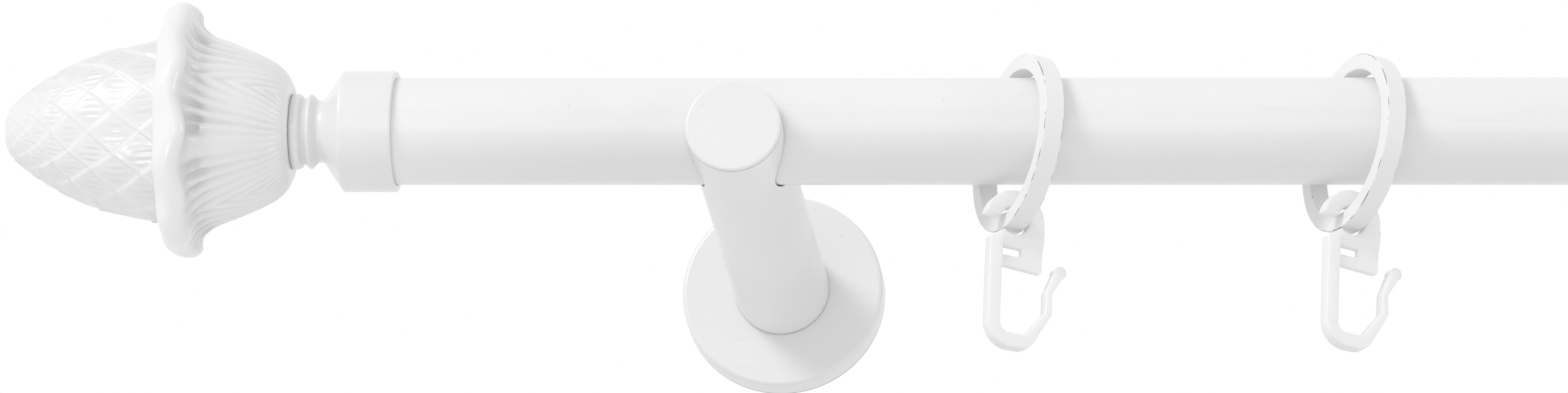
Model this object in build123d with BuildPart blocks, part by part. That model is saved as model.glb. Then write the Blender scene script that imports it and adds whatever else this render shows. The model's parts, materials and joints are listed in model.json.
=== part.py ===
"""White curtain rod with two wall brackets, two pine-cone finials and eight rings with hooks.

Frame: millimetres, Z up, X along the rod, Y into the wall. The origin is the centre of the
left bracket's wall face.
"""

import os
from math import cos, radians, sin

from build123d import *

# rod
rod_diameter = 20.0
rod_wall = 1.0
rod_length = 800.0
wall_distance = 80.0
rod_rise = 4.3
overhang = 74.5

# bracket
arm_diameter = 18.0
arm_lip = 4.7
arm_edge = 0.6
saddle_gap = 0.3
rosette_diameter = 38.6
rosette_depth = 5.0
rosette_face = 1.6
rosette_rim = 1.5
rosette_edge = 0.9
plate_diameter = 33.0
plate_depth = 2.4
wall_hole_radius = 2.25
wall_hole_spacing = 22.0
wall_stud_radius = 3.0
wall_stud_length = 18.0
wall_stud_inset = 0.4
bore_gap = 0.05

# finial, stations along its axis measured from the tip of the cone
finial_length = 64.9
cone_nose = [(0.0, 0.0), (0.1, 1.6), (0.6, 3.4)]
cone_rows = [
    (2.0, 5.2),
    (5.0, 7.9),
    (8.6, 10.2),
    (13.0, 12.5),
    (18.2, 14.5),
    (24.0, 16.2),
    (31.5, 17.4),
]
cone_step = 0.45
cone_foot = [(35.8, 17.2), (40.3, 15.0), (46.8, 12.2), (48.5, 12.0)]
cup_outside = [
    (54.5, 9.2),
    (53.0, 11.3),
    (51.0, 13.1),
    (47.9, 14.7),
    (44.3, 16.3),
    (40.7, 17.8),
    (39.2, 18.8),
    (37.7, 20.8),
    (36.4, 22.6),
]
cup_lip = [(35.0, 24.0), (32.4, 23.4), (30.4, 21.5), (30.2, 19.6), (31.5, 17.9)]
cup_inside = [(36.2, 17.6), (40.7, 15.3), (47.0, 12.5)]
cup_floor = 48.5
cup_lobes = 8
scallop_radius = 6.2
scallop_depth = 1.2
neck_outline = [
    (54.5, 7.1),
    (56.1, 7.1),
    (56.9, 6.0),
    (58.1, 7.2),
    (59.6, 5.7),
    (60.7, 5.9),
    (64.4, 11.35),
    (74.4, 11.35),
]
sleeve_end = 74.4
sleeve_edge = 0.5
tie_radius = 3.0
tie_start = 41.0
tie_end = 61.5
tie_bore = (40.0, 62.5)
grub_radius = 2.0
grub_socket = 1.1
grub_socket_depth = 1.2
grub_out = 12.2
grub_station = 69.5

# rings and hooks
ring_radius = 17.0
ring_bore = 14.0
ring_width = 3.8
ring_edge = 0.3
ring_drop = 2.7
ring_lean = 2.0
ring_yaws = [28.5, 32.0, 30.0, 31.0, 29.5, 31.5, 28.5, 30.5]
first_ring = 52.0
ring_pitch = 62.8
rings_a_side = 4
eye_radius = 5.9
eye_bore = 2.8
hook_thickness = 2.7
hook_edge = 0.25
hook_stem = -2.4
web_thickness = 1.3
web_right = 6.3
web_slope = [
    (-3.2, hook_thickness / 2),
    (-5.0, web_thickness / 2),
    (-10.4, web_thickness / 2),
    (-10.4, hook_thickness),
    (-3.2, hook_thickness),
]
hook_outline = [
    (-4.9, -3.0),
    (-4.9, -24.9),
    (3.7, -24.9),
    (8.1, -17.1),
    (7.85, -13.4),
    (10.15, -9.45),
    (8.55, -8.2),
    (6.7, -13.0),
    (6.7, -17.0),
    (2.8, -22.2),
    (hook_stem, -22.2),
    (hook_stem, -8.85),
    (5.8, -9.45),
    (6.0, -1.0),
    (0.0, 0.0),
]
hook_rounds = {1: 5.0, 2: 3.4, 3: 1.6, 4: 1.0, 7: 1.0, 8: 1.6, 9: 0.4, 10: 1.9, 11: 0.6, 12: 0.4}
hook_tip = (9.45, -8.75)
hook_tip_radius = 1.2
hook_mouth = [(0.0, 0.5), (-7.0, 1.0), (-7.0, -4.9), (-1.5, -1.6)]
hook_window = [(-2.2, -5.05), (1.7, -5.25), (1.65, -7.0), (-2.2, -6.85)]

rod_radius = rod_diameter / 2
rod_y = -wall_distance
rod_z = rod_rise
span = rod_length - 2 * overhang
arm_front = rod_y - rod_radius - saddle_gap - arm_lip
os.makedirs("parts", exist_ok=True)


def save(builder, label):
    """Name a finished piece and write it."""
    builder.part.label = label
    export_step(builder.part, f"parts/{label}.step")


def wall_plane(x, y):
    """Plane parallel to the wall at a bracket, facing the room."""
    return Plane(origin=(x, y, 0), x_dir=(1, 0, 0), z_dir=(0, -1, 0))


def make_bracket(side, x):
    """Wall plate, stud, rosette and saddle arm of one bracket."""
    with BuildPart() as plate:
        with BuildSketch(wall_plane(x, 0)):
            Circle(plate_diameter / 2)
            Circle(wall_stud_radius + bore_gap, mode=Mode.SUBTRACT)
            with GridLocations(wall_hole_spacing, 0, 2, 1):
                Circle(wall_hole_radius, mode=Mode.SUBTRACT)
        extrude(amount=plate_depth)
    save(plate, f"{side}_wall_plate")

    with BuildPart() as stud:
        with BuildSketch(wall_plane(x, -wall_stud_inset)):
            Circle(wall_stud_radius)
        extrude(amount=wall_stud_length)
        chamfer(stud.edges().filter_by(GeomType.CIRCLE), wall_stud_inset)
    save(stud, f"{side}_wall_stud")

    with BuildPart() as rosette:
        with BuildSketch(wall_plane(x, 0)):
            Circle(rosette_diameter / 2)
        extrude(amount=rosette_depth)
        fillet(rosette.faces().sort_by(Axis.Y)[0].edges(), rosette_edge)
        with BuildSketch(wall_plane(x, 0)):
            Circle(rosette_diameter / 2 - rosette_rim)
        extrude(amount=rosette_depth - rosette_face, mode=Mode.SUBTRACT)
        with BuildSketch(wall_plane(x, 0)):
            Circle(wall_stud_radius + bore_gap)
        extrude(amount=rosette_depth, mode=Mode.SUBTRACT)
    save(rosette, f"{side}_rosette")

    with BuildPart() as arm:
        with BuildSketch(wall_plane(x, -rosette_depth)):
            Circle(arm_diameter / 2)
        extrude(amount=-rosette_depth - arm_front)
        fillet(arm.faces().sort_by(Axis.Y)[0].edges(), arm_edge)
        saddle = Plane(origin=(x, rod_y, rod_z), x_dir=(0, 1, 0), z_dir=(1, 0, 0))
        with BuildSketch(saddle):
            Circle(rod_radius + saddle_gap)
            with Locations((0, arm_diameter / 2)):
                Rectangle(2 * (rod_radius + saddle_gap), arm_diameter)
        extrude(amount=arm_diameter / 2, both=True, mode=Mode.SUBTRACT)
        with BuildSketch(wall_plane(x, 0)):
            Circle(wall_stud_radius + bore_gap)
        extrude(amount=wall_stud_length + 2 * wall_stud_inset, mode=Mode.SUBTRACT)
    save(arm, f"{side}_arm")


def turn(outline, plane):
    """Revolve an outline of (station from the tip, radius) pairs round the finial's axis."""
    with BuildSketch(plane) as profile:
        with BuildLine():
            Polyline([(finial_length - t, r) for t, r in outline], close=True)
        make_face()
    revolve(profile.sketch, axis=Axis(plane.origin, plane.x_dir))


def bore(plane, start, end, radius):
    """Cut a round hole on the finial's axis between two stations."""
    with BuildSketch(cross_plane(plane, end)) as hole:
        Circle(radius)
    extrude(hole.sketch, amount=end - start, mode=Mode.SUBTRACT)


def cross_plane(plane, station):
    """Plane across the finial's axis at a station, facing its tip."""
    return Plane(plane.origin, x_dir=(0, 1, 0), z_dir=plane.x_dir).offset(finial_length - station)


def make_finial(side, x, out):
    """Cone, leaf cup, neck sleeve, tie stud and grub screw on one end of the rod."""
    plane = Plane(origin=(x, rod_y, rod_z), x_dir=(out, 0, 0), z_dir=(0, -out, 0))
    rows = cone_nose + [cone_rows[0]]
    for (t0, r0), (t1, r1) in zip(cone_rows, cone_rows[1:]):
        rows += [(t0 + cone_step, r0 + 2 * cone_step), (t1, r1)]
    with BuildPart() as cone:
        turn(rows + cone_foot + [(cup_floor, 0)], plane)
        bore(plane, tie_bore[0], cup_floor, tie_radius + bore_gap)
    save(cone, f"{side}_cone")

    with BuildPart() as cup:
        floor_edge = [(cup_floor, cup_inside[-1][1]), (cup_floor, 0), (cup_outside[0][0], 0)]
        turn(cup_outside + cup_lip + cup_inside + floor_edge, plane)
        bore(plane, cup_floor, cup_outside[0][0], tie_radius + bore_gap)
        with BuildSketch(cross_plane(plane, cup_outside[-1][0])):
            with PolarLocations(cup_lip[0][1] - scallop_depth + scallop_radius, cup_lobes):
                Circle(scallop_radius)
        extrude(amount=cup_outside[-1][0], mode=Mode.SUBTRACT)
    save(cup, f"{side}_cup")

    with BuildPart() as sleeve:
        turn(neck_outline + [(sleeve_end, 0), (neck_outline[0][0], 0)], plane)
        outer_rim = sleeve.faces().sort_by(Axis(plane.origin, plane.x_dir))[0].edges()
        fillet(outer_rim, sleeve_edge)
        bore(plane, finial_length, sleeve_end, rod_radius + bore_gap)
        bore(plane, neck_outline[0][0], tie_bore[1], tie_radius + bore_gap)
        with BuildSketch(grub_plane(x, out)):
            Circle(grub_radius + bore_gap)
        extrude(amount=grub_out, mode=Mode.SUBTRACT)
    save(sleeve, f"{side}_sleeve")

    with BuildPart() as tie:
        with BuildSketch(cross_plane(plane, tie_end)):
            Circle(tie_radius)
        extrude(amount=tie_end - tie_start)
    save(tie, f"{side}_tie_stud")

    with BuildPart() as grub:
        with BuildSketch(grub_plane(x, out).offset(rod_radius)):
            Circle(grub_radius)
        extrude(amount=grub_out - rod_radius)
        with BuildSketch(grub_plane(x, out).offset(grub_out)):
            RegularPolygon(grub_socket, 6)
        extrude(amount=-grub_socket_depth, mode=Mode.SUBTRACT)
    save(grub, f"{side}_grub_screw")


def grub_plane(x, out):
    """Plane through the rod's axis, facing the wall, at the grub screw."""
    place = x + out * (finial_length - grub_station)
    return Plane(origin=(place, rod_y, rod_z), x_dir=(1, 0, 0), z_dir=(0, 1, 0))


def hook_moulding():
    """The flat hook with its eye's middle at the origin: thick eye, stem and J, and a thin web."""
    with BuildPart() as moulding:
        with BuildSketch() as outline:
            with BuildLine():
                Polyline(hook_outline, close=True)
            make_face()
            for corner, radius in hook_rounds.items():
                place = Vector(*hook_outline[corner])
                fillet(outline.vertices().sort_by_distance(place)[0], radius)
            Circle(eye_radius)
            with Locations(hook_tip):
                Circle(hook_tip_radius)
            Circle(eye_bore, mode=Mode.SUBTRACT)
            for cut in (hook_mouth, hook_window):
                with BuildLine():
                    Polyline(cut, close=True)
                make_face(mode=Mode.SUBTRACT)
        extrude(amount=hook_thickness / 2, both=True)
        sides = moulding.faces().sort_by(Axis.Z)
        fillet(sides[0].edges() + sides[-1].edges(), hook_edge)
        for face_side in (1, -1):
            with BuildSketch(Plane((hook_stem, 0, 0), x_dir=(0, 1, 0), z_dir=(1, 0, 0))):
                with BuildLine():
                    Polyline([(along, face_side * out) for along, out in web_slope], close=True)
                make_face()
            extrude(amount=web_right - hook_stem, mode=Mode.SUBTRACT)
    return moulding.part


def make_ring_and_hook(number, x, yaw, moulding):
    """One band ring hung askew on the rod, and the hook hung on its lowest point."""
    turn_to = radians(yaw)
    lean = radians(ring_lean)
    across = Vector(cos(turn_to), sin(turn_to), 0)
    normal = across * cos(lean) - Vector(0, 0, 1) * sin(lean)
    down = -(Vector(0, 0, 1) + normal * sin(lean)) / cos(lean)
    centre = Vector(x, rod_y, rod_z - ring_drop)
    with BuildPart() as ring:
        with BuildSketch(Plane(centre, x_dir=(-sin(turn_to), cos(turn_to), 0), z_dir=normal)):
            Circle(ring_radius)
            Circle(ring_bore, mode=Mode.SUBTRACT)
        extrude(amount=ring_width / 2, both=True)
        chamfer(ring.edges().filter_by(GeomType.CIRCLE), ring_edge)
    save(ring, f"ring_{number}")

    pivot = centre + down * ((ring_radius + ring_bore) / 2)
    flat = Plane(pivot, x_dir=across, z_dir=(sin(turn_to), -cos(turn_to), 0))
    with BuildPart() as hook:
        add(flat.location * moulding)
    save(hook, f"hook_{number}")


with BuildPart() as tube:
    with BuildSketch(Plane(origin=(-overhang, rod_y, rod_z), x_dir=(0, 1, 0), z_dir=(1, 0, 0))):
        Circle(rod_radius)
        Circle(rod_radius - rod_wall, mode=Mode.SUBTRACT)
    extrude(amount=rod_length)
save(tube, "rod_tube")

make_bracket("left", 0)
make_bracket("right", span)
make_finial("left", -overhang, -1)
make_finial("right", span + overhang, 1)

left_places = [first_ring + ring_pitch * k for k in range(rings_a_side)]
ring_places = left_places + [span - place for place in reversed(left_places)]
moulding = hook_moulding()
for number, (place, yaw) in enumerate(zip(ring_places, ring_yaws), start=1):
    make_ring_and_hook(number, place, yaw, moulding)
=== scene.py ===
# %% [markdown]
# # A white curtain rod with brackets
#
# The rod, its brackets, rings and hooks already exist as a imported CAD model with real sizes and
# joints. This lesson dresses that model: it keeps the CAD solids whose shape is right, replaces
# the cast, turned and worn pieces by finer surfaces, and gives every piece a finish.

# %% Load the CAD frame
import json
import math

import bpy
import numpy as np
from mathutils import Matrix, Vector


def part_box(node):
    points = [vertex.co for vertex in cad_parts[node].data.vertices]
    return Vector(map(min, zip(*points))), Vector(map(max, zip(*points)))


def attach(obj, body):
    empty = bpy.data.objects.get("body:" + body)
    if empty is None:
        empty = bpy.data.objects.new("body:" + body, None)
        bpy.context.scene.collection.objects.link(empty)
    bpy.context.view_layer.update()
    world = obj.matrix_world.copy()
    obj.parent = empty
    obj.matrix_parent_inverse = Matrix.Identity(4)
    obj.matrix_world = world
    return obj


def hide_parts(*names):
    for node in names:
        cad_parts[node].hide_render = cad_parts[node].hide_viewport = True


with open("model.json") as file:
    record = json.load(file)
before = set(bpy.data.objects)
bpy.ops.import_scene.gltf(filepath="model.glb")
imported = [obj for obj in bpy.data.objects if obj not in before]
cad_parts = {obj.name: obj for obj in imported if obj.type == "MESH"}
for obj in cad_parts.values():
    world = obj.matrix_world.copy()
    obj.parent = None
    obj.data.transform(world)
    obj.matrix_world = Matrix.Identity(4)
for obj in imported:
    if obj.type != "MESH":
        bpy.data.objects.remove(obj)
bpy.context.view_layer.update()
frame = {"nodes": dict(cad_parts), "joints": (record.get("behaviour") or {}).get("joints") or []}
MM = 0.001
SIDES = (("left", -1), ("right", 1))

# %% [markdown]
# ## The camera
#
# The photograph looks up at the rod from below and a little from the right, and its picture is
# turned until the rod lies level. A long lens keeps the rod equally thick from end to end. The
# camera is placed so that the rod's axis at the left bracket falls on its pixel of the photograph.

# %% Place the camera
PHOTO = (2576, 645)
PIXELS_PER_MM = 8.78
BRACKET_PIXEL = (1219.0, 215.8)
LOOK_UP, LOOK_LEFT = math.radians(20.2), math.radians(6.7)
DISTANCE, FAR = 2.77, 200

tube_low, tube_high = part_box("rod_tube")
ROD_Y, ROD_Z = (tube_low.y + tube_high.y) / 2, (tube_low.z + tube_high.z) / 2

gaze = Vector((-math.sin(LOOK_LEFT), math.cos(LOOK_LEFT), math.tan(LOOK_UP))).normalized()
right = (Vector((1, 0, 0)) - gaze.x * gaze).normalized()
above = right.cross(gaze)
aim = Vector((0, ROD_Y, ROD_Z))
aim += right * (PHOTO[0] / 2 - BRACKET_PIXEL[0]) / PIXELS_PER_MM * MM
aim -= above * (PHOTO[1] / 2 - BRACKET_PIXEL[1]) / PIXELS_PER_MM * MM


def put(name, data):
    """A new object in the scene."""
    made = bpy.data.objects.new(name, data)
    bpy.context.scene.collection.objects.link(made)
    return made


camera = put("camera", bpy.data.cameras.new("camera"))
camera.data.lens = camera.data.sensor_width * DISTANCE / (PHOTO[0] / PIXELS_PER_MM * MM)
camera.data.clip_end = FAR
turned = Matrix((right, above, -gaze)).transposed().to_4x4()
camera.matrix_world = Matrix.Translation(aim - gaze * DISTANCE) @ turned
bpy.context.scene.camera = camera
print("lens", round(camera.data.lens, 1), "mm")

# %% [markdown]
# ## Wiring a finish
#
# A material is a net of nodes. Reckoning with numbers reads best as plain arithmetic, so one
# small class wraps a socket, and each operator on it adds the Math node that does it. A second
# class holds the net, and its `node` method makes any other node, with its settings first and
# then its sockets. A finish is such a net round one Principled shader.

# %% Sockets that can be reckoned with
class Wire:
    """A node's output. Arithmetic on it adds Math nodes to the same net."""

    def __init__(self, net, socket):
        self.net, self.socket = net, socket

    def math(self, operation, *terms):
        return self.net.node("Math", {"operation": operation}, dict(enumerate(terms)))

    def __abs__(self):
        return self.math("ABSOLUTE", self)

    def __add__(self, other):
        return self.math("ADD", self, other)

    def __radd__(self, other):
        return self.math("ADD", other, self)

    def __sub__(self, other):
        return self.math("SUBTRACT", self, other)

    def __rsub__(self, other):
        return self.math("SUBTRACT", other, self)

    def __mul__(self, other):
        return self.math("MULTIPLY", self, other)

    def __rmul__(self, other):
        return self.math("MULTIPLY", other, self)

    def step(self, low, high):
        """0 below low, 1 above high, and a smooth rise between them."""
        sockets = {"Value": self, "From Min": low, "From Max": high}
        return self.net.node("MapRange", {"interpolation_type": "SMOOTHSTEP"}, sockets)


class Net:
    """A net of shader nodes."""

    def __init__(self, tree):
        self.tree = tree

    def feed(self, node, sockets):
        """Link a wire to a socket, or set the socket's own value."""
        for key, value in sockets.items():
            if isinstance(value, Wire):
                self.tree.links.new(value.socket, node.inputs[key])
            else:
                node.inputs[key].default_value = value

    def node(self, kind, settings=None, sockets=None, out=0):
        made = self.tree.nodes.new("ShaderNode" + kind)
        for key, value in (settings or {}).items():
            setattr(made, key, value)
        self.feed(made, sockets or {})
        return Wire(self, made.outputs[out])


class Finish(Net):
    """A material under construction, round one Principled shader."""

    def __init__(self, name, constants):
        self.material = bpy.data.materials.new(name)
        self.material.use_nodes = True
        super().__init__(self.material.node_tree)
        self.shader = self.tree.nodes["Principled BSDF"]
        self.feed(self.shader, constants)
        self.place = self.node("TexCoord", out="Object")

    def noise(self, per_metre, detail, place=None):
        """Cloudy values from 0 to 1, with about this many blobs to the metre."""
        sockets = {"Vector": place or self.place, "Scale": per_metre, "Detail": detail}
        return self.node("TexNoise", {}, sockets)

    def cells(self, per_metre, out):
        """A value of the cells round scattered points, about this many to the metre."""
        return self.node("TexVoronoi", {}, {"Vector": self.place, "Scale": per_metre}, out)

    def mark(self):
        """The value that the mesh carries at each point."""
        return self.node("Attribute", {"attribute_name": "mark"}, {}, "Fac")

    def blend(self, factor, first, second):
        """A colour that goes from the first to the second as the factor goes from 0 to 1."""
        return self.node("Mix", {"data_type": "RGBA"}, {0: factor, 6: first, 7: second}, 2)

    def bump(self, height, strength, depth):
        """Tilts the surface as if it rose by depth metres where height is 1."""
        return self.node("Bump", {}, {"Height": height, "Strength": strength, "Distance": depth})

    def paint(self, sockets):
        self.feed(self.shader, sockets)
        return self.material


def grey(level):
    return (level, level, level, 1)


print("finishes are wired by", Finish.__name__)

# %% [markdown]
# ## White powder coat
#
# Tube, arms and rosettes are steel with a baked white powder coat. It is never one flat white: the
# layer varies a little, its skin has a fine orange peel, specks of dust are baked into it and leave
# small dents, and sliding rings leave faint scuffs along the tube. Where two pieces meet, a thin
# dark line shows: round the cap of an arm, at its foot, and where a rosette meets the wall. Those
# seams go round pieces that point at the wall, so a narrow band of the coordinate y draws each.

# %% Mix the powder coat
PAINT_IOR = 1.5
COAT_LEVEL, COAT_LOWER, COAT_HIGHER, SCUFF_LOWER = 0.86, 0.015, 0.01, 0.05
SEAM_GREY = grey(0.12)
COAT_CLOUDS, COAT_PEEL, DUST, DUST_CLOUDS, SCUFFS, SCUFF_CLOUDS = 60, 900, 340, 150, 900, 40
DUST_EDGE, DUST_RARE, DUST_DARK, DUST_DENT = (0.03, 0.09), (0.53, 0.58), 0.20, 1.5
SCUFF_EDGE, SCUFF_RARE, SCUFF_DARK = (0.62, 0.72), (0.5, 0.65), 0.5
ALONG_TUBE = (0.03, 1, 1)


def powder_coat(name, seams=()):
    """seams lists (y, half width, darkness) of thin dark lines."""
    finish = Finish(name, {"IOR": PAINT_IOR})
    cloud = finish.noise(COAT_CLOUDS, 3)
    near_speck = 1 - finish.cells(DUST, "Distance").step(*DUST_EDGE)
    dust_and_shade = near_speck * finish.noise(DUST_CLOUDS, 0).step(*DUST_RARE)
    dark = dust_and_shade * DUST_DARK
    y = finish.node("SeparateXYZ", {}, {0: finish.place}, "Y")
    for seam_y, half, darkness in seams:
        dark = dark + (1 - abs(y - seam_y).step(half / 2, half)) * darkness
    drawn = finish.node("VectorMath", {"operation": "MULTIPLY"}, {0: finish.place, 1: ALONG_TUBE})
    scuff = finish.noise(SCUFFS, 1, drawn).step(*SCUFF_EDGE)
    scuff = scuff * finish.noise(SCUFF_CLOUDS, 2).step(*SCUFF_RARE)
    coat = finish.blend(cloud, grey(COAT_LEVEL - COAT_LOWER), grey(COAT_LEVEL + COAT_HIGHER))
    coat = finish.blend(scuff * SCUFF_DARK, coat, grey(COAT_LEVEL - SCUFF_LOWER))
    relief = finish.noise(COAT_PEEL, 1) - dust_and_shade * DUST_DENT
    return finish.paint({
        "Base Color": finish.blend(dark, coat, SEAM_GREY),
        "Roughness": 0.28 + 0.10 * cloud + 0.15 * scuff,
        "Coat Weight": 0.15 + 0.25 * cloud,
        "Normal": finish.bump(relief, strength=0.10, depth=0.2 * MM),
    })


def dress(node, material):
    """Give a CAD node its finish."""
    frame["nodes"][node].data.materials.clear()
    frame["nodes"][node].data.materials.append(material)


arm_low, arm_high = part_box("left_arm")
cap_seam = (arm_low.y + 0.74 * MM, 0.14 * MM, 0.95)
foot_seam = (arm_high.y - 0.10 * MM, 0.20 * MM, 0.80)
wall_seam = (-0.08 * MM, 0.28 * MM, 0.80)
tube_coat = powder_coat("tube_coat")
arm_coat = powder_coat("arm_coat", [cap_seam, foot_seam])
rosette_coat = powder_coat("rosette_coat", [wall_seam])
dress("rod_tube", tube_coat)
for side, out in SIDES:
    dress(f"{side}_arm", arm_coat)
    dress(f"{side}_rosette", rosette_coat)
print("coated with", tube_coat.name, arm_coat.name, rosette_coat.name)

# %% [markdown]
# ## The floor
#
# The rod hangs in a white room, with a plain pale floor two metres below. The floor is one large
# square. It only shows from above, so it never stands between a low camera and the rod, and
# glossy paint sees it as white, so that no edge of it is mirrored along the tube.

# %% Lay the floor
bpy.context.scene.view_settings.view_transform = "Standard"

FLOOR_Z, FLOOR_HALF = -2.2, 60.0
FLOOR_CLOUDS, FLOOR_GREYS = 2, (grey(0.88), grey(0.92))
flat = np.array([(-1, -1), (1, -1), (1, 1), (-1, 1)]) * FLOOR_HALF
corners = np.column_stack([flat, np.full(len(flat), FLOOR_Z)])
floor_mesh = bpy.data.meshes.new("floor")
floor_mesh.from_pydata(corners.tolist(), [], [range(len(flat))])
floor = put("floor", floor_mesh)

pale = Finish("pale_floor", {"Roughness": 0.9})
pale.paint({"Base Color": pale.blend(pale.noise(FLOOR_CLOUDS, 2), *FLOOR_GREYS)})
clear = pale.node("BsdfTransparent")
white = pale.node("Emission", {}, {"Color": grey(1.0), "Strength": 1.0})
mirrored = pale.node("LightPath", {}, {}, "Is Glossy Ray")
below = pale.node("NewGeometry", {}, {}, "Backfacing")
plain = Wire(pale, pale.shader.outputs["BSDF"])
shown = pale.node("MixShader", {}, {0: mirrored, 1: plain, 2: white})
shown = pale.node("MixShader", {}, {0: below, 1: shown, 2: clear})
pale.feed(pale.tree.nodes["Material Output"], {"Surface": shown})
floor_mesh.materials.append(pale.material)
print("floor at", FLOOR_Z, "m")

# %% [markdown]
# ## The light
#
# One broad soft lamp stands in front, up and to the left. It makes the shadows to the right of the
# arm and of the rings. Two weak fills, from the right and from the front, keep the far sides
# readable. The photograph's finial is lit more evenly than the rest, so a small spot lights each
# finial from below. The sky is white to the camera, to glossy paint and through clear things. As
# a light it is darker, so that white paint doesn't clip.

# %% Hang the lamps
LAMPS = {
    "key": ((-2.7, -3.0, 2.5), (1.9, 1.5), 78),
    "right_fill": ((3.0, -1.0, 0.2), (1.0, 1.0), 12),
    "front_fill": ((-0.2, -2.3, -0.25), (1.4, 0.9), 3.5),
}
LAMPS_AIM = Vector((0.1, ROD_Y, ROD_Z))
SPOT_WATTS, SPOT_ANGLE, SPOT_SIZE = 9, math.radians(6.4), 0.03
SPOT_OUT, SPOT_FRONT, SPOT_BELOW = 0.45, 0.8, 0.8
SKY_LOW, SKY_HIGH, SKY_RISE = 0.58, 0.69, 0.6


def turn_to(lamp, place, target):
    """Put a lamp at a place and let it look at the target."""
    lamp.location = place
    lamp.rotation_euler = (target - Vector(place)).to_track_quat("-Z", "Y").to_euler()


for name, (place, size, watts) in LAMPS.items():
    lamp = bpy.data.lights.new(name, "AREA")
    lamp.shape, lamp.energy = "RECTANGLE", watts
    lamp.size, lamp.size_y = size
    turn_to(put(name, lamp), place, LAMPS_AIM)
for side, out in SIDES:
    cone_low, cone_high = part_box(f"{side}_cone")
    middle = (cone_low + cone_high) / 2
    spot = bpy.data.lights.new(f"{side}_finial_fill", "SPOT")
    spot.energy, spot.spot_size, spot.spot_blend = SPOT_WATTS, SPOT_ANGLE, 1.0
    spot.shadow_soft_size = SPOT_SIZE
    away = Vector((SPOT_OUT * out, -SPOT_FRONT, -SPOT_BELOW))
    turn_to(put(spot.name, spot), middle + away, middle)

world = bpy.data.worlds.new("white_room")
world.use_nodes = True
bpy.context.scene.world = world
sky = Net(world.node_tree)
height = sky.node("SeparateXYZ", {}, {0: sky.node("TexCoord", out="Generated")}, "Z")
light = sky.node("MapRange", {}, {"Value": height, "From Min": -SKY_RISE, "From Max": SKY_RISE,
                                  "To Min": SKY_LOW, "To Max": SKY_HIGH})
seen = sky.node("LightPath", {}, {}, "Is Camera Ray")
for kind in ("Glossy", "Transmission"):
    seen = seen.math("MAXIMUM", seen, sky.node("LightPath", {}, {}, f"Is {kind} Ray"))
strength = light + seen * (1 - light)
sky.feed(sky.tree.nodes["Background"], {"Color": grey(1.0), "Strength": strength})
print("lamps", len(LAMPS) + len(SIDES))

# %% [markdown]
# ## Surfaces from two numbers
#
# Every new piece is a grid: one number runs along a profile, the other runs round. The points are
# worked out as whole arrays, and the helper below only joins neighbours into faces, shuts the
# ends and turns the faces outwards. It also hangs a value on each point, the mark, which a finish
# can read: how much painted shade a place gets in a recess, or how worn it is.

# %% Grid of points to mesh
def skin(name, points, marks, ring=False):
    """Mesh from an array of rows x columns x 3. The columns close on themselves. With ring the rows
    close too, and otherwise each end row is shut by a fan to its middle. A negative volume means
    that the faces look inwards, and then they are turned round. marks is a value per point."""
    rows, cols = points.shape[:2]
    count = rows * cols
    index = np.arange(count).reshape(rows, cols)
    here = index if ring else index[:-1]
    beyond = np.roll(index, -1, 0) if ring else index[1:]
    quads = np.stack([here, np.roll(here, -1, 1), np.roll(beyond, -1, 1), beyond], -1).reshape(-1, 4)
    places, fans = points.reshape(-1, 3), np.zeros((0, 3), int)
    if not ring:
        tips = np.stack([points[0].mean(0), points[-1].mean(0)])
        first, last = index[0], index[-1]
        start = np.stack([np.full(cols, count), np.roll(first, -1), first], -1)
        end = np.stack([np.full(cols, count + 1), last, np.roll(last, -1)], -1)
        places, fans = np.concatenate([places, tips]), np.concatenate([start, end])
    halves = np.concatenate([quads[:, [0, 1, 2]], quads[:, [0, 2, 3]], fans])
    a, b, c = (places[halves[:, k]] for k in range(3))
    if np.einsum("ij,ij->i", a, np.cross(b, c)).sum() < 0:
        quads, fans = quads[:, ::-1], fans[:, ::-1]
    mesh = bpy.data.meshes.new(name)
    mesh.from_pydata(places.tolist(), [], quads.tolist() + fans.tolist())
    mesh.polygons.foreach_set("use_smooth", np.ones(len(mesh.polygons), bool))
    values = np.zeros(len(places), np.float32)
    values[:count] = np.broadcast_to(marks, (rows, cols)).reshape(-1)
    mesh.attributes.new("mark", "FLOAT", "POINT").data.foreach_set("value", values)
    mesh.update()
    return put(name, mesh)


def adopt(piece, node, body, slot_name, material):
    """Put a finished piece in the place of a CAD node."""
    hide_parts(node)
    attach(piece, body)
    piece.data.materials.append(material)


def once_round(count):
    return np.linspace(0, 2 * np.pi, count, endpoint=False)[None, :]


print("a grid becomes a piece by", skin.__name__, "and", adopt.__name__)

# %% [markdown]
# ## White lacquer
#
# Cone, leaf cup and sleeve are dipped in a thick gloss lacquer. It lies smooth on the high places,
# so its gloss is higher than the powder coat's. In grooves and hollows, behind the lip and over the
# cup's wall its colour is greyed as painted shade, and there it is also duller. The mesh's mark
# says where that is.

# %% Mix the lacquer
LACQUER_CLOUDS, LACQUER_FLOW, LACQUER_SPREAD = 90, 400, 0.01
# Painted shade: grooves and hollows are greyed towards this colour.
RECESS_SHADE_GREY = grey(0.50)


def lacquer(name, level):
    finish = Finish(name, {"IOR": PAINT_IOR, "Coat Roughness": 0.12})
    cloud = finish.noise(LACQUER_CLOUDS, 3)
    # the mark greys the lacquer as painted shade in recesses
    recess_shade = finish.mark()
    coat = finish.blend(cloud, grey(level - LACQUER_SPREAD), grey(level + LACQUER_SPREAD))
    return finish.paint({
        "Base Color": finish.blend(recess_shade, coat, RECESS_SHADE_GREY),
        "Roughness": 0.24 + 0.10 * cloud + 0.2 * recess_shade,
        "Coat Weight": 0.2 + 0.3 * cloud,
        "Normal": finish.bump(finish.noise(LACQUER_FLOW, 1), strength=0.08, depth=0.3 * MM),
    })


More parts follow.
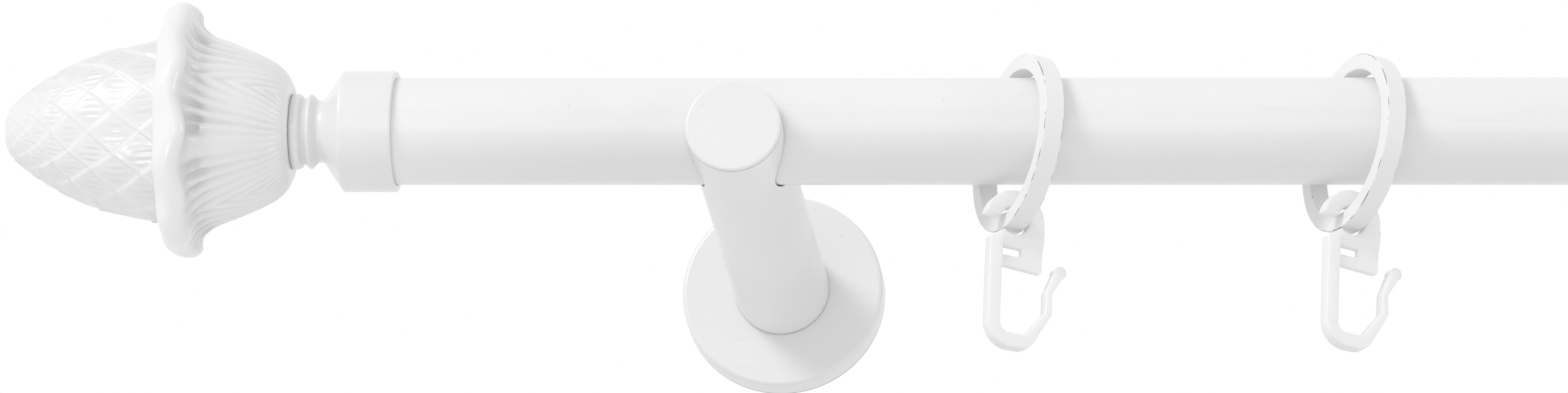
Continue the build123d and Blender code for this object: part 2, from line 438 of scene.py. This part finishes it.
# The cone's lacquer is the same lacquer a little darker, a painted shade because the lamps light the
# cone strongly. The sleeves wear it too.
cup_gloss, cone_gloss = lacquer("white_lacquer", level=0.84), lacquer("cone_lacquer", level=0.82)
print("mixed", cup_gloss.name, cone_gloss.name)

# %% [markdown]
# ## The pine cone
#
# The cone is a smooth egg covered by scales. Two families of spiral lines cross on it, twelve each
# way, and each diamond between them is one scale. On a surface of revolution such diamonds keep
# their proportions if the step along the axis shrinks with the radius, so the pattern is drawn in
# the coordinate q, the sum of path length over radius. A real one is carved by hand as a master and
# cast, so the lines wander a little and no two scales are alike.

# %% Lay out the egg
CONE_PATH = [(0, 0.15), (0.12, 1.7), (0.6, 3.4), (2.1, 5.5), (5, 7.8), (8.6, 10.1), (13, 12.5),
             (18.2, 14.5), (24, 16.0), (31.5, 17.2), (36, 17.1)]
CONE_ROWS, CONE_COLS = 154, 640
FINE, BEFORE_END = 24, 1e-9


def smooth_path(points, count):
    """Points on a smooth curve through the given ones, evenly spread along its length: between two
    of them runs the cubic whose slopes are half the step between their neighbours."""
    p = np.array(points, float)
    slope = np.gradient(p, axis=0)
    t = np.linspace(0, len(p) - 1 - BEFORE_END, FINE * len(p))
    k, u = t.astype(int), (t % 1)[:, None]
    fine = ((2 * u**3 - 3 * u**2 + 1) * p[k] + (u**3 - 2 * u**2 + u) * slope[k]
            + (3 * u**2 - 2 * u**3) * p[k + 1] + (u**3 - u**2) * slope[k + 1])
    along = np.concatenate([[0], np.cumsum(np.linalg.norm(np.diff(fine, axis=0), axis=1))])
    even = np.linspace(0, along[-1], count)
    return np.stack([np.interp(even, along, fine[:, c]) for c in range(p.shape[1])], -1)


def around_rod(side, out, station, radius, angle):
    """Points round the rod's axis. A station is the distance from the finial's tip in mm, and angle 0
    looks at the photograph's camera."""
    low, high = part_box(f"{side}_cone")
    tip_x = low.x if out < 0 else high.x
    turn = angle + math.atan2(-gaze.z, -gaze.y)
    x = np.broadcast_to(tip_x - out * station * MM, np.broadcast(station, radius, angle).shape)
    return np.stack([x, ROD_Y + radius * np.cos(turn) * MM, ROD_Z + radius * np.sin(turn) * MM], -1)


cone_path = smooth_path(CONE_PATH, CONE_ROWS)
print("the egg is", cone_path[:, 1].max().round(1), "mm in radius")

# %% [markdown]
# On a scale, two fractions run from 0 to 1 between its lines. Their sum says how far along the scale
# a point lies, from the finial's tip to its foot, and their difference how far across. All waves
# round the cone have whole counts, and a scale's own random value depends on its place counted
# round, so the pattern meets itself after one turn.

# %% Carve the scales
SCALES_ROUND, SPIRAL, NODE_STATION = 12, 0.794, 17.9
FULL_RADIUS = 11
WANDER, WANDER_WAVES = 0.05, ((3, 5), (2, -3))
CRUMPLE, CRUMPLE_LENGTH, CRUMPLE_WAVES = 0.10, 9.0, ((23, 9), (17, -21))
STEP_WIDTH, MARGIN = 0.07, 0.14
BEAD_AT, FOOT_AT = (0.055, 0.045), (0.94, 0.05)
SWELL, SWELL_ALONG, SWELL_ACROSS = 0.14, (-0.4, 0.3), (0, 0.4)
STRIPES, STRIPES_ALONG, UNEVEN_STRIPES, STRIPE_WAVES = 3.0, (0.16, 0.42), 0.3, (9, 20)
SLOPE, SLOPE_MORE, BEAD, GROOVE, GROOVE_MORE = 0.20, 0.20, 0.07, 0.04, 0.05
# Painted shade: the lacquer greys in the grooves of the stripes, over the inner part of each scale so
# that its edges stay lighter, and at the foot of each step.
SHADE_GROOVE, SHADE_INSIDE, SHADE_FOOT = 0.16, 0.12, 0.05
SHUFFLE_ALONG, SHUFFLE_ROUND = 12.9, 78.2


def bell(x, middle, width):
    """A smooth hump of height 1."""
    return np.exp(-(((x - middle) / width) ** 2))


def saw(f, edge):
    """Rises from 0 to 1 - edge across a cell, and in its last stretch falls smoothly back to 0."""
    u = np.clip((f - 1 + edge) / edge, 0, 1)
    return f - (3 * u**2 - 2 * u**3) * (1 - edge) - np.clip(f - 1 + edge, 0, None)


def weave(angle, q, first, second):
    """Product of two slanted sines, each with its counts round and along."""
    return np.sin(first[0] * angle + first[1] * q) * np.sin(second[0] * angle + second[1] * q)


def cone_points(side, out):
    """Radius = egg + swell - slope + bead + stripes + crumple. a and b count the two families of lines.
    Along a scale the surface sinks from its tip end to its foot, so each scale starts with a small
    step outwards, with a bead on its edge, and fine grooves run along the axis over its middle."""
    station, egg = cone_path[:, :1], cone_path[:, 1:]
    mean_radius = 0.5 * (cone_path[1:, 1] + cone_path[:-1, 1])
    step = np.linalg.norm(np.diff(cone_path, axis=0), axis=1) / mean_radius
    q = np.concatenate([[0], np.cumsum(step)])[:, None]
    q = q - np.interp(NODE_STATION, cone_path[:, 0], q[:, 0])
    angle = once_round(CONE_COLS)
    wide = 2 * np.pi / SCALES_ROUND
    bend = WANDER * weave(angle, q, *WANDER_WAVES)
    a, b = (SPIRAL * q + angle) / wide + bend, (SPIRAL * q - angle) / wide - bend
    row, place = np.floor(a) + np.floor(b), (np.floor(a) - np.floor(b)) % (2 * SCALES_ROUND)
    seed = np.sin(SHUFFLE_ALONG * row + SHUFFLE_ROUND * place) * 0.5 + 0.5
    fa, fb = a % 1, b % 1
    along, across = fa + fb - 1, fa - fb
    slope = saw(fa, STEP_WIDTH) + saw(fb, STEP_WIDTH) - (1 - STEP_WIDTH)
    bead = np.maximum(bell(fa, *BEAD_AT), bell(fb, *BEAD_AT))
    foot = np.maximum(bell(fa, *FOOT_AT), bell(fb, *FOOT_AT))
    nearest = np.minimum(np.minimum(fa, 1 - fa), np.minimum(fb, 1 - fb))
    inside = 1 - bell(nearest, 0, MARGIN)
    uneven = 1 - UNEVEN_STRIPES * (1 - np.sin(STRIPE_WAVES[0] * across + STRIPE_WAVES[1] * seed))
    comb = np.cos(2 * np.pi * (STRIPES * across + seed)) * uneven
    stripes = comb * bell(along, *STRIPES_ALONG) * inside
    crumple = CRUMPLE * bell(station, 0, CRUMPLE_LENGTH) * weave(angle, q, *CRUMPLE_WAVES)
    swell = SWELL * bell(along, *SWELL_ALONG) * bell(across, *SWELL_ACROSS)
    size = np.clip(egg / FULL_RADIUS, 0, 1)
    lift = swell - (SLOPE + SLOPE_MORE * seed) * slope + BEAD * bead
    lift = lift + (GROOVE + GROOVE_MORE * seed) * stripes + crumple
    # painted shade in the grooves, inside each scale and at each step's foot
    dust_and_shade = SHADE_GROOVE * np.clip(-stripes, 0, 1) + SHADE_INSIDE * inside + SHADE_FOOT * foot
    return around_rod(side, out, station, egg + size * lift, angle), size * dust_and_shade


for side, out in SIDES:
    points, recess_shade = cone_points(side, out)
    cone = skin(f"{side}_scaly_cone", points, recess_shade)
    adopt(cone, f"{side}_cone", "rod", "white_cast", cone_gloss)
    print(cone.name, len(cone.data.polygons), "faces")

# %% [markdown]
# ## The leaf cup
#
# The cup is a bell of four broad leaves pressed together. Its rim is a fat rolled lip that waves in
# and out. Fine veins start close together at the stem and fan out towards the rim. They are deepest
# right under the lip, where two hollows flank the middle rib of each leaf, and the rib stays smooth.

# %% Press the leaves
CUP_PATH = [(54.5, 3.2), (54.5, 6.0), (54.5, 8.5), (54.2, 9.5), (53.2, 11.2), (51.2, 13.0),
            (47.9, 14.7), (44.3, 16.2), (41.4, 17.3), (39.6, 18.1), (38.3, 19.0), (37.3, 20.0),
            (36.75, 21.3), (36.45, 22.6), (35.8, 23.5), (34.7, 24.0), (33.4, 23.8), (32.2, 23.0),
            (31.2, 21.7), (30.8, 20.3), (31.0, 18.9), (31.8, 18.0), (33.5, 17.9), (36.2, 17.7)]
CUP_ROWS, CUP_COLS = 170, 576
LEAVES, VEINS, FIRST_RIB = 4, 42, 0.16
RIB_WIDTH, RIB_SMOOTH, RIB_FOOT = 0.2, 0.9, (0.3, 52, 3)
FAN, FAN_FROM, FAN_LENGTH = 0.42, 38, 16
VEIN_SHARP, VEIN_UNEVEN, VEIN_SHUFFLE = 1.4, 0.28, 7.3
VEIN_DEPTHS = ((1.35, 38.5, 2.3), (0.62, 43.0, 4.0), (0.42, 50.5, 3.0))
HOLLOW, HOLLOW_BESIDE = (1.3, 38.3, 1.5), (0.205, 0.05)
OUTSIDE_FROM, OUTSIDE_TO, OUTSIDE_EDGE = 36.3, 54.4, 0.4
LIP_FROM, LIP_RISE, LIP_TUCK = 18.6, 4.0, 0.25
LIP_OUT = ((0.30, 8, -8 * FIRST_RIB), (0.22, 5, 1.0), (0.14, 13, 0))
LIP_ALONG = ((0.45, 11, 0.4), (0.35, 8, 0), (0.25, 3, 0))
# Painted shade: grey in the carved veins and hollows, over the whole outer wall so that the lip stays
# lighter, and most of all right behind the lip.
SHADE_CARVED, SHADE_DEEPEST, SHADE_CUP, SHADE_THROAT = 0.32, 1.2, 0.10, (0.12, 38.4, 2.6)


def humps(x, *shapes):
    """Sum of smooth humps, each with its height, middle and width."""
    return sum(height * bell(x, middle, width) for height, middle, width in shapes)


def ripple(angle, waves):
    """Sum of cosines, each with its height, its count round and its phase."""
    return sum(height * np.cos(count * angle + phase) for height, count, phase in waves)


def cup_points(side, out):
    """Radius = bell profile - veins - hollows + ripples. near is the angle from the rib of the nearest
    leaf. A vein is a raised cosine to a power, so it is narrow at the bottom and broad on top, and
    its count per angle grows towards the stem. Its depth is a sum of humps along the cup, less on
    the rib. The ripples act only on the lip, outwards and along the axis."""
    path = smooth_path(CUP_PATH, CUP_ROWS)
    station, radius = path[:, :1], path[:, 1:]
    angle = once_round(CUP_COLS)
    leaf = 2 * np.pi / LEAVES
    near = (angle - FIRST_RIB + leaf / 2) % leaf - leaf / 2
    rib = bell(near, 0, RIB_WIDTH)
    vein = VEINS * near / (1 - FAN * np.clip((station - FAN_FROM) / FAN_LENGTH, 0, 1))
    number = np.abs(np.round(vein / (2 * np.pi)))
    uneven = 1 - VEIN_UNEVEN * (1 - np.sin(VEIN_SHUFFLE * number))
    groove = (0.5 + 0.5 * np.cos(vein)) ** VEIN_SHARP * uneven
    depth = humps(station, *VEIN_DEPTHS) * (1 - rib * (RIB_SMOOTH - humps(station, RIB_FOOT)))
    hollow = humps(station, HOLLOW) * bell(np.abs(near), *HOLLOW_BESIDE)
    outside = np.clip((station - OUTSIDE_FROM) / OUTSIDE_EDGE, 0, 1)
    outside = outside * np.clip((OUTSIDE_TO - station) / OUTSIDE_EDGE, 0, 1)
    carved = outside * (groove * depth + hollow)
    lip = np.clip((radius - LIP_FROM) / LIP_RISE, 0, 1) ** 2
    pressed = radius - carved + lip * (ripple(angle, LIP_OUT) - LIP_TUCK)
    shifted = station + lip * ripple(angle, LIP_ALONG)
    # painted shade: deeper carving greys more, and the wall behind the lip greys most
    dust_and_shade = SHADE_CARVED * np.clip(carved, 0, SHADE_DEEPEST)
    dust_and_shade = dust_and_shade + (SHADE_CUP + humps(station, SHADE_THROAT)) * outside
    return around_rod(side, out, shifted, pressed, angle), dust_and_shade


for side, out in SIDES:
    points, recess_shade = cup_points(side, out)
    cup = skin(f"{side}_leaf_cup", points, recess_shade)
    adopt(cup, f"{side}_cup", "rod", "white_cast", cup_gloss)
    print(cup.name, len(cup.data.polygons), "faces")

# %% [markdown]
# ## Neck and sleeve
#
# The cup sits on a turned neck with a collar, a bead and a shoulder, which widens to the sleeve that
# slips over the tube. A turned part is its outline carried round the axis. Its corners are rounded
# first, because a lathe and a coat of lacquer leave no sharp edge, and a soft edge catches light. The
# three narrow places of the neck get a painted shade.

# %% Turn the sleeves
SLEEVE_OUTLINE = [(54.5, 3.1), (54.5, 7.1), (56.1, 7.1), (56.9, 6.0), (58.1, 7.2), (59.6, 5.7),
                  (60.7, 5.9), (64.4, 11.35), (74.4, 11.35), (74.4, 9.98), (66.0, 9.98), (66.0, 3.1)]
SLEEVE_COLS, SLEEVE_REACH = 192, 0.45
# Painted shade at the neck's three narrow places: against the cup, which shades the collar, and in two
# grooves.
SLEEVE_SHADE = ((0.35, 54.6, 0.4), (0.20, 57.0, 0.5), (0.20, 59.9, 0.7))
CORNER_ROWS, LONGEST, FLAT_FROM = 7, 0.4, 1.15


def softened(points, reach):
    """A closed line with its corners rounded off: each corner becomes the parabola that starts and ends
    at most reach away from it on its two sides, and one more point on each side keeps the flat
    runs flat."""
    p = np.array(points, float)
    both = np.stack([np.roll(p, 1, 0) - p, np.roll(p, -1, 0) - p])
    length = np.linalg.norm(both, axis=-1, keepdims=True)
    before, after = (both / length * np.minimum(reach, LONGEST * length))[:, :, None]
    u = np.linspace(0, 1, CORNER_ROWS)[None, :, None]
    corner = p[:, None]
    curve = corner + (1 - u) ** 2 * before + u**2 * after
    rows = np.concatenate([corner + FLAT_FROM * before, curve, corner + FLAT_FROM * after], 1)
    return rows.reshape(-1, p.shape[1])


def sleeve_points(side, out):
    """Closed outline with soft corners, carried once round the axis."""
    outline = softened(SLEEVE_OUTLINE, SLEEVE_REACH)
    station, radius = outline[:, :1], outline[:, 1:]
    points = around_rod(side, out, station, radius, once_round(SLEEVE_COLS))
    # the mark is the painted shade of the narrow places
    return points, humps(station, *SLEEVE_SHADE)


for side, out in SIDES:
    points, recess_shade = sleeve_points(side, out)
    sleeve = skin(f"{side}_turned_sleeve", points, recess_shade, ring=True)
    adopt(sleeve, f"{side}_sleeve", "rod", "white_paint", cone_gloss)
    print(sleeve.name, len(sleeve.data.polygons), "faces")

# %% [markdown]
# ## Ring paint
#
# The rings are flat steel bands with a coat of white enamel. Where ring after ring knocks against
# its neighbour the enamel has chipped along the edges, and the dark steel shows as a thin broken
# line. The mesh's mark says how worn a place is, close to 1 on the outer edges, and noise decides
# where along an edge the enamel has gone.

# %% Mix the ring paint
ENAMEL_LEVEL, ENAMEL_LOWER, ENAMEL_HIGHER = 0.89, 0.015, 0.01
ENAMEL_CLOUDS, ENAMEL_PEEL, CHIP_TEETH, CHIP_RUNS = 120, 1100, 1500, 300
TEETH_SHARE, RUNS_SHARE, SOUND_SHARE, PEEL_SHARE = 0.5, 1.5, 0.37, 0.3
CHIP_EDGE, CHIP_DARK, STEEL_GREY = (1.48, 1.58), 0.8, grey(0.10)


def ring_enamel(name):
    finish = Finish(name, {"IOR": PAINT_IOR})
    cloud = finish.noise(ENAMEL_CLOUDS, 3)
    ragged = finish.noise(CHIP_TEETH, 2) * TEETH_SHARE + finish.noise(CHIP_RUNS, 1) * RUNS_SHARE
    chip = (finish.mark() + (ragged - SOUND_SHARE)).step(*CHIP_EDGE)
    coat = finish.blend(cloud, grey(ENAMEL_LEVEL - ENAMEL_LOWER), grey(ENAMEL_LEVEL + ENAMEL_HIGHER))
    relief = finish.noise(ENAMEL_PEEL, 1) * PEEL_SHARE - chip
    return finish.paint({
        "Base Color": finish.blend(chip * CHIP_DARK, coat, STEEL_GREY),
        "Roughness": 0.30 + 0.10 * cloud + 0.25 * chip,
        "Normal": finish.bump(relief, strength=0.25, depth=0.2 * MM),
    })


enamel = ring_enamel("ring_enamel")
print("mixed", enamel.name)

# %% [markdown]
# ## The rings
#
# A ring is a flat rectangle with soft corners, carried round a circle. Where it hangs and how it
# leans is read from the frame: its box gives the middle, and the hinge of its hook lies in the
# middle of its lowest stretch, at right angles to the ring's axis.

# %% Carry the band round
RINGS = 8
RING_RADIUS, RING_BORE, RING_WIDTH = 17.0, 14.0, 3.8
RING_COLS, RING_REACH = 320, 0.28
CORNER_WEAR = (0.78, 0.96, 0.92, 0.7)
WEAR_OVER_CORNER = (0, 0, 0.3, 0.8, 1, 0.8, 0.3, 0, 0)
hinges = {joint["child"]: joint for joint in frame["joints"] if joint["type"] == "hinge"}


def ring_points(middle, axis, down):
    """Middle + axis * across + (down * cos + side * sin) * radius, with (across, radius) on the band's
    section. The wear of each corner is spread over the rows that round it off."""
    half = RING_WIDTH / 2
    section = [(-half, RING_BORE), (-half, RING_RADIUS), (half, RING_RADIUS), (half, RING_BORE)]
    section = softened(section, RING_REACH)[:, None, :]
    turn = once_round(RING_COLS)[..., None]
    round_way = np.cos(turn) * down + np.sin(turn) * np.cross(axis, down)
    points = middle + MM * (axis * section[..., :1] + round_way * section[..., 1:])
    return points, np.outer(CORNER_WEAR, WEAR_OVER_CORNER).reshape(-1, 1)


for k in range(1, RINGS + 1):
    low, high = (np.array(corner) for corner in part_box(f"ring_{k}"))
    middle, hinge = (low + high) / 2, hinges[f"hook_{k}"]
    down = np.array(hinge["pos_m"]) - middle
    down = down / np.linalg.norm(down)
    points, wear = ring_points(middle, np.cross(down, np.array(hinge["axis"])), down)
    band = skin(f"band_ring_{k}", points, wear, ring=True)
    adopt(band, f"ring_{k}", f"ring_{k}", "ring_paint", enamel)
print("rings", RINGS, "of", len(band.data.polygons), "faces")

# %% [markdown]
# ## Milky hooks
#
# The hooks are moulded from a milky plastic. Light goes in and comes out a few millimetres further
# on, so thin stems glow and shadows are soft. Their CAD solids already have the right shape and
# rounded edges, so they only get the finish.

# %% Mould the hooks
MILK_FLOW, MILK_GRAIN, MILK_GREYS = 220, 2600, (grey(0.87), grey(0.91))
MILK = {"IOR": 1.49, "Subsurface Weight": 0.7, "Subsurface Scale": 3 * MM,
        "Subsurface Radius": (1.0, 1.0, 1.0)}


def milky_plastic(name):
    finish = Finish(name, MILK)
    flow = finish.noise(MILK_FLOW, 2)
    return finish.paint({
        "Base Color": finish.blend(flow, *MILK_GREYS),
        "Roughness": 0.34 + 0.12 * flow,
        "Normal": finish.bump(finish.noise(MILK_GRAIN, 1), strength=0.06, depth=0.1 * MM),
    })


milky = milky_plastic("milky_plastic")
for k in range(1, RINGS + 1):
    dress(f"hook_{k}", milky)
print("hooks dressed with", milky.name)

# %% [markdown]
# ## Zinc-plated steel
#
# Wall plates, studs and grub screws are zinc-plated steel. Almost all of it is hidden, but a wall
# plate shows from behind. Zinc is a bluish grey with a faint spangle, crystals that each mirror a
# little differently.

# %% Plate the fixings
ZINC_CRYSTALS, ZINC_DULL, ZINC_GRAIN = 420, 300, 1500
ZINC_DARK, ZINC_PALE = (0.46, 0.48, 0.50, 1), (0.70, 0.72, 0.74, 1)


def zinc(name):
    finish = Finish(name, {"Metallic": 1.0})
    crystal = finish.cells(ZINC_CRYSTALS, "Color")
    spangle = finish.node("SeparateColor", {}, {"Color": crystal}, "Red")
    dull = finish.noise(ZINC_DULL, 3)
    return finish.paint({
        "Base Color": finish.blend(0.6 * dull + 0.4 * spangle, ZINC_DARK, ZINC_PALE),
        "Roughness": 0.28 + 0.22 * dull,
        "Normal": finish.bump(finish.noise(ZINC_GRAIN, 1), strength=0.08, depth=0.1 * MM),
    })


plating = zinc("zinc_plate")
for side, out in SIDES:
    for part in ("wall_plate", "wall_stud", "tie_stud", "grub_screw"):
        dress(f"{side}_{part}", plating)
print("plated with", plating.name)
